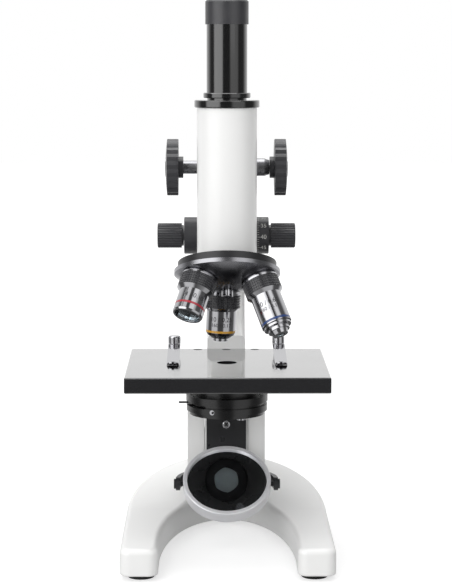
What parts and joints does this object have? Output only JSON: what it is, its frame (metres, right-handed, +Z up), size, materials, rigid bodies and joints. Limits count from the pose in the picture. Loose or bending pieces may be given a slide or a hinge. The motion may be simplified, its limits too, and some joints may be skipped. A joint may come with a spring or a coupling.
{
  "type": "compound microscope",
  "caption": "Monocular compound microscope with a tilting arm, rack focus, triple nosepiece, iris substage and swivel mirror on a horseshoe base.",
  "frame": {"origin": "centre of the base's footprint, at table level", "axes": "+Z up along the body tube, -Y towards the user, +X to the user's right"},
  "size_m": [0.124, 0.174, 0.3322],
  "materials": {
    "white_paint": "semi-gloss baked enamel",
    "black_enamel": "satin black enamel",
    "stage_enamel": "gloss black enamel",
    "black_anodised": "gloss black anodised tube",
    "black_plastic": "moulded, fine texture",
    "chrome": "polished chrome plate",
    "steel": "turned and ground",
    "brass": "machined",
    "aluminium": "satin anodised",
    "rubber": "moulded rubber",
    "lens_glass": "polished, coated",
    "mirror_glass": "silvered glass"
  },
  "bodies": {
    "base": {"base_casting": "white_paint", "rubber_feet": "rubber", "inclination_axle": "steel", "inclination_screws": "steel"},
    "arm": {"limb_casting": "white_paint", "mirror_bar": "black_enamel", "mirror_bar_screw": "chrome", "stage_plate": "stage_enamel", "stage_screws": "steel", "clip_posts": "chrome", "condenser_mount": "black_enamel", "condenser_lens": "lens_glass", "iris_housing": "black_enamel", "iris_screw": "chrome", "filter_pivot_screw": "chrome"},
    "focus_carriage": {"focus_carriage": "aluminium", "coarse_sleeve": "steel"},
    "tube": {"body_tube": "white_paint", "tube_slide": "steel", "tube_rack": "brass", "tube_collar": "black_plastic", "draw_tube": "black_anodised", "nosepiece_plate": "black_enamel", "nosepiece_bolt": "chrome", "nosepiece_click": "steel"},
    "coarse_drive": {"coarse_shaft": "steel", "coarse_pinion": "steel", "coarse_knob_left": "black_plastic", "coarse_knob_right": "black_plastic", "coarse_knob_caps": "chrome"},
    "fine_drive": {"fine_shaft": "steel", "fine_drum_left": "black_plastic", "fine_drum_right": "black_plastic", "fine_knob_left": "black_plastic", "fine_knob_right": "black_plastic"},
    "fine_wedge": {"fine_wedge": "brass"},
    "turret": {"turret_dish": "chrome", "objective_4x": "chrome", "objective_10x": "chrome", "objective_40x": "chrome", "objective_grips": "black_plastic", "objective_lenses": "lens_glass"},
    "eyepiece": {"eyepiece_cap": "black_plastic", "eyepiece_barrel": "aluminium", "eyepiece_lenses": "lens_glass"},
    "mirror_fork": {"mirror_fork": "black_enamel", "mirror_pivot_screws": "steel"},
    "mirror": {"mirror_frame": "aluminium", "mirror_flat_glass": "mirror_glass", "mirror_concave_glass": "mirror_glass"},
    "clip_left": {"clip_left": "chrome"},
    "clip_right": {"clip_right": "chrome"},
    "iris_ring": {"iris_ring": "black_enamel"},
    "filter_ring": {"filter_ring": "black_enamel"},
    "iris_blade_1": {"iris_blade_1": "steel"},
    "iris_blade_2": {"iris_blade_2": "steel"},
    "iris_blade_3": {"iris_blade_3": "steel"},
    "iris_blade_4": {"iris_blade_4": "steel"},
    "iris_blade_5": {"iris_blade_5": "steel"},
    "iris_blade_6": {"iris_blade_6": "steel"}
  },
  "joints": [
    {"name": "inclination", "type": "hinge", "parent": "base", "child": "arm", "pos_m": [0, 0.058, 0.08], "axis": [-1, 0, 0], "range_deg": [0, 45]},
    {"name": "fine_focus", "type": "slide", "parent": "arm", "child": "focus_carriage", "axis": [0, 0, 1], "range_m": [-0.0008, 0.0008]},
    {"name": "coarse_focus", "type": "slide", "parent": "focus_carriage", "child": "tube", "axis": [0, 0, 1], "range_m": [-0.0015, 0.04]},
    {"name": "coarse_knobs", "type": "hinge", "parent": "focus_carriage", "child": "coarse_drive", "pos_m": [0, 0.028, 0.23], "axis": [-1, 0, 0], "range_deg": [-20, 480]},
    {"name": "fine_knobs", "type": "hinge", "parent": "arm", "child": "fine_drive", "pos_m": [0, 0.035, 0.187], "axis": [1, 0, 0], "range_deg": [-1441, 1441]},
    {"name": "fine_wedge_travel", "type": "slide", "parent": "arm", "child": "fine_wedge", "axis": [1, 0, 0], "range_m": [-0.00201, 0.00201]},
    {"name": "nosepiece_turn", "type": "hinge", "parent": "tube", "child": "turret", "pos_m": [0, -0.008, 0.2142], "axis": [0, -0.3584, -0.9336], "continuous": true},
    {"name": "eyepiece_lift", "type": "slide", "parent": "tube", "child": "eyepiece", "axis": [0, 0, 1], "range_m": [0, 0.06]},
    {"name": "mirror_swivel", "type": "hinge", "parent": "arm", "child": "mirror_fork", "pos_m": [0, -0.008, 0.0392], "axis": [0, 1, 0], "range_deg": [-80, 80]},
    {"name": "mirror_tilt", "type": "hinge", "parent": "mirror_fork", "child": "mirror", "pos_m": [0, -0.008, 0.0392], "axis": [1, 0, 0], "continuous": true},
    {"name": "clip_left_swivel", "type": "hinge", "parent": "arm", "child": "clip_left", "pos_m": [-0.0325, 0.032, 0.118], "axis": [0, 0, 1], "range_deg": [-30, 25]},
    {"name": "clip_right_swivel", "type": "hinge", "parent": "arm", "child": "clip_right", "pos_m": [0.0325, 0.032, 0.118], "axis": [0, 0, -1], "range_deg": [-30, 25]},
    {"name": "iris_lever", "type": "hinge", "parent": "arm", "child": "iris_ring", "pos_m": [0, -0.008, 0.089], "axis": [0, 0, 1], "range_deg": [-27, 36]},
    {"name": "iris_blade_1_turn", "type": "hinge", "parent": "arm", "child": "iris_blade_1", "pos_m": [0.01663, 0.0016, 0.087], "axis": [0, 0, 1], "range_deg": [-13.6, 18.1]},
    {"name": "iris_blade_2_turn", "type": "hinge", "parent": "arm", "child": "iris_blade_2", "pos_m": [0, 0.0112, 0.087], "axis": [0, 0, 1], "range_deg": [-13.6, 18.1]},
    {"name": "iris_blade_3_turn", "type": "hinge", "parent": "arm", "child": "iris_blade_3", "pos_m": [-0.01663, 0.0016, 0.087], "axis": [0, 0, 1], "range_deg": [-13.6, 18.1]},
    {"name": "iris_blade_4_turn", "type": "hinge", "parent": "arm", "child": "iris_blade_4", "pos_m": [-0.01663, -0.0176, 0.087], "axis": [0, 0, 1], "range_deg": [-13.6, 18.1]},
    {"name": "iris_blade_5_turn", "type": "hinge", "parent": "arm", "child": "iris_blade_5", "pos_m": [0, -0.0272, 0.087], "axis": [0, 0, 1], "range_deg": [-13.6, 18.1]},
    {"name": "iris_blade_6_turn", "type": "hinge", "parent": "arm", "child": "iris_blade_6", "pos_m": [0.01663, -0.0176, 0.087], "axis": [0, 0, 1], "range_deg": [-13.6, 18.1]},
    {"name": "filter_swing", "type": "hinge", "parent": "arm", "child": "filter_ring", "pos_m": [0.00842, -0.02481, 0.084], "axis": [0, 0, -1], "range_deg": [0, 95]}
  ],
  "couplings": [
    {"joint": "coarse_knobs", "follows": "coarse_focus", "rad_per_m": 208.33},
    {"joint": "fine_wedge_travel", "follows": "fine_focus", "ratio": 2.5},
    {"joint": "fine_knobs", "follows": "fine_focus", "rad_per_m": 31416},
    {"joint": "iris_blade_1_turn", "follows": "iris_lever", "ratio": 0.5},
    {"joint": "iris_blade_2_turn", "follows": "iris_lever", "ratio": 0.5},
    {"joint": "iris_blade_3_turn", "follows": "iris_lever", "ratio": 0.5},
    {"joint": "iris_blade_4_turn", "follows": "iris_lever", "ratio": 0.5},
    {"joint": "iris_blade_5_turn", "follows": "iris_lever", "ratio": 0.5},
    {"joint": "iris_blade_6_turn", "follows": "iris_lever", "ratio": 0.5}
  ]
}
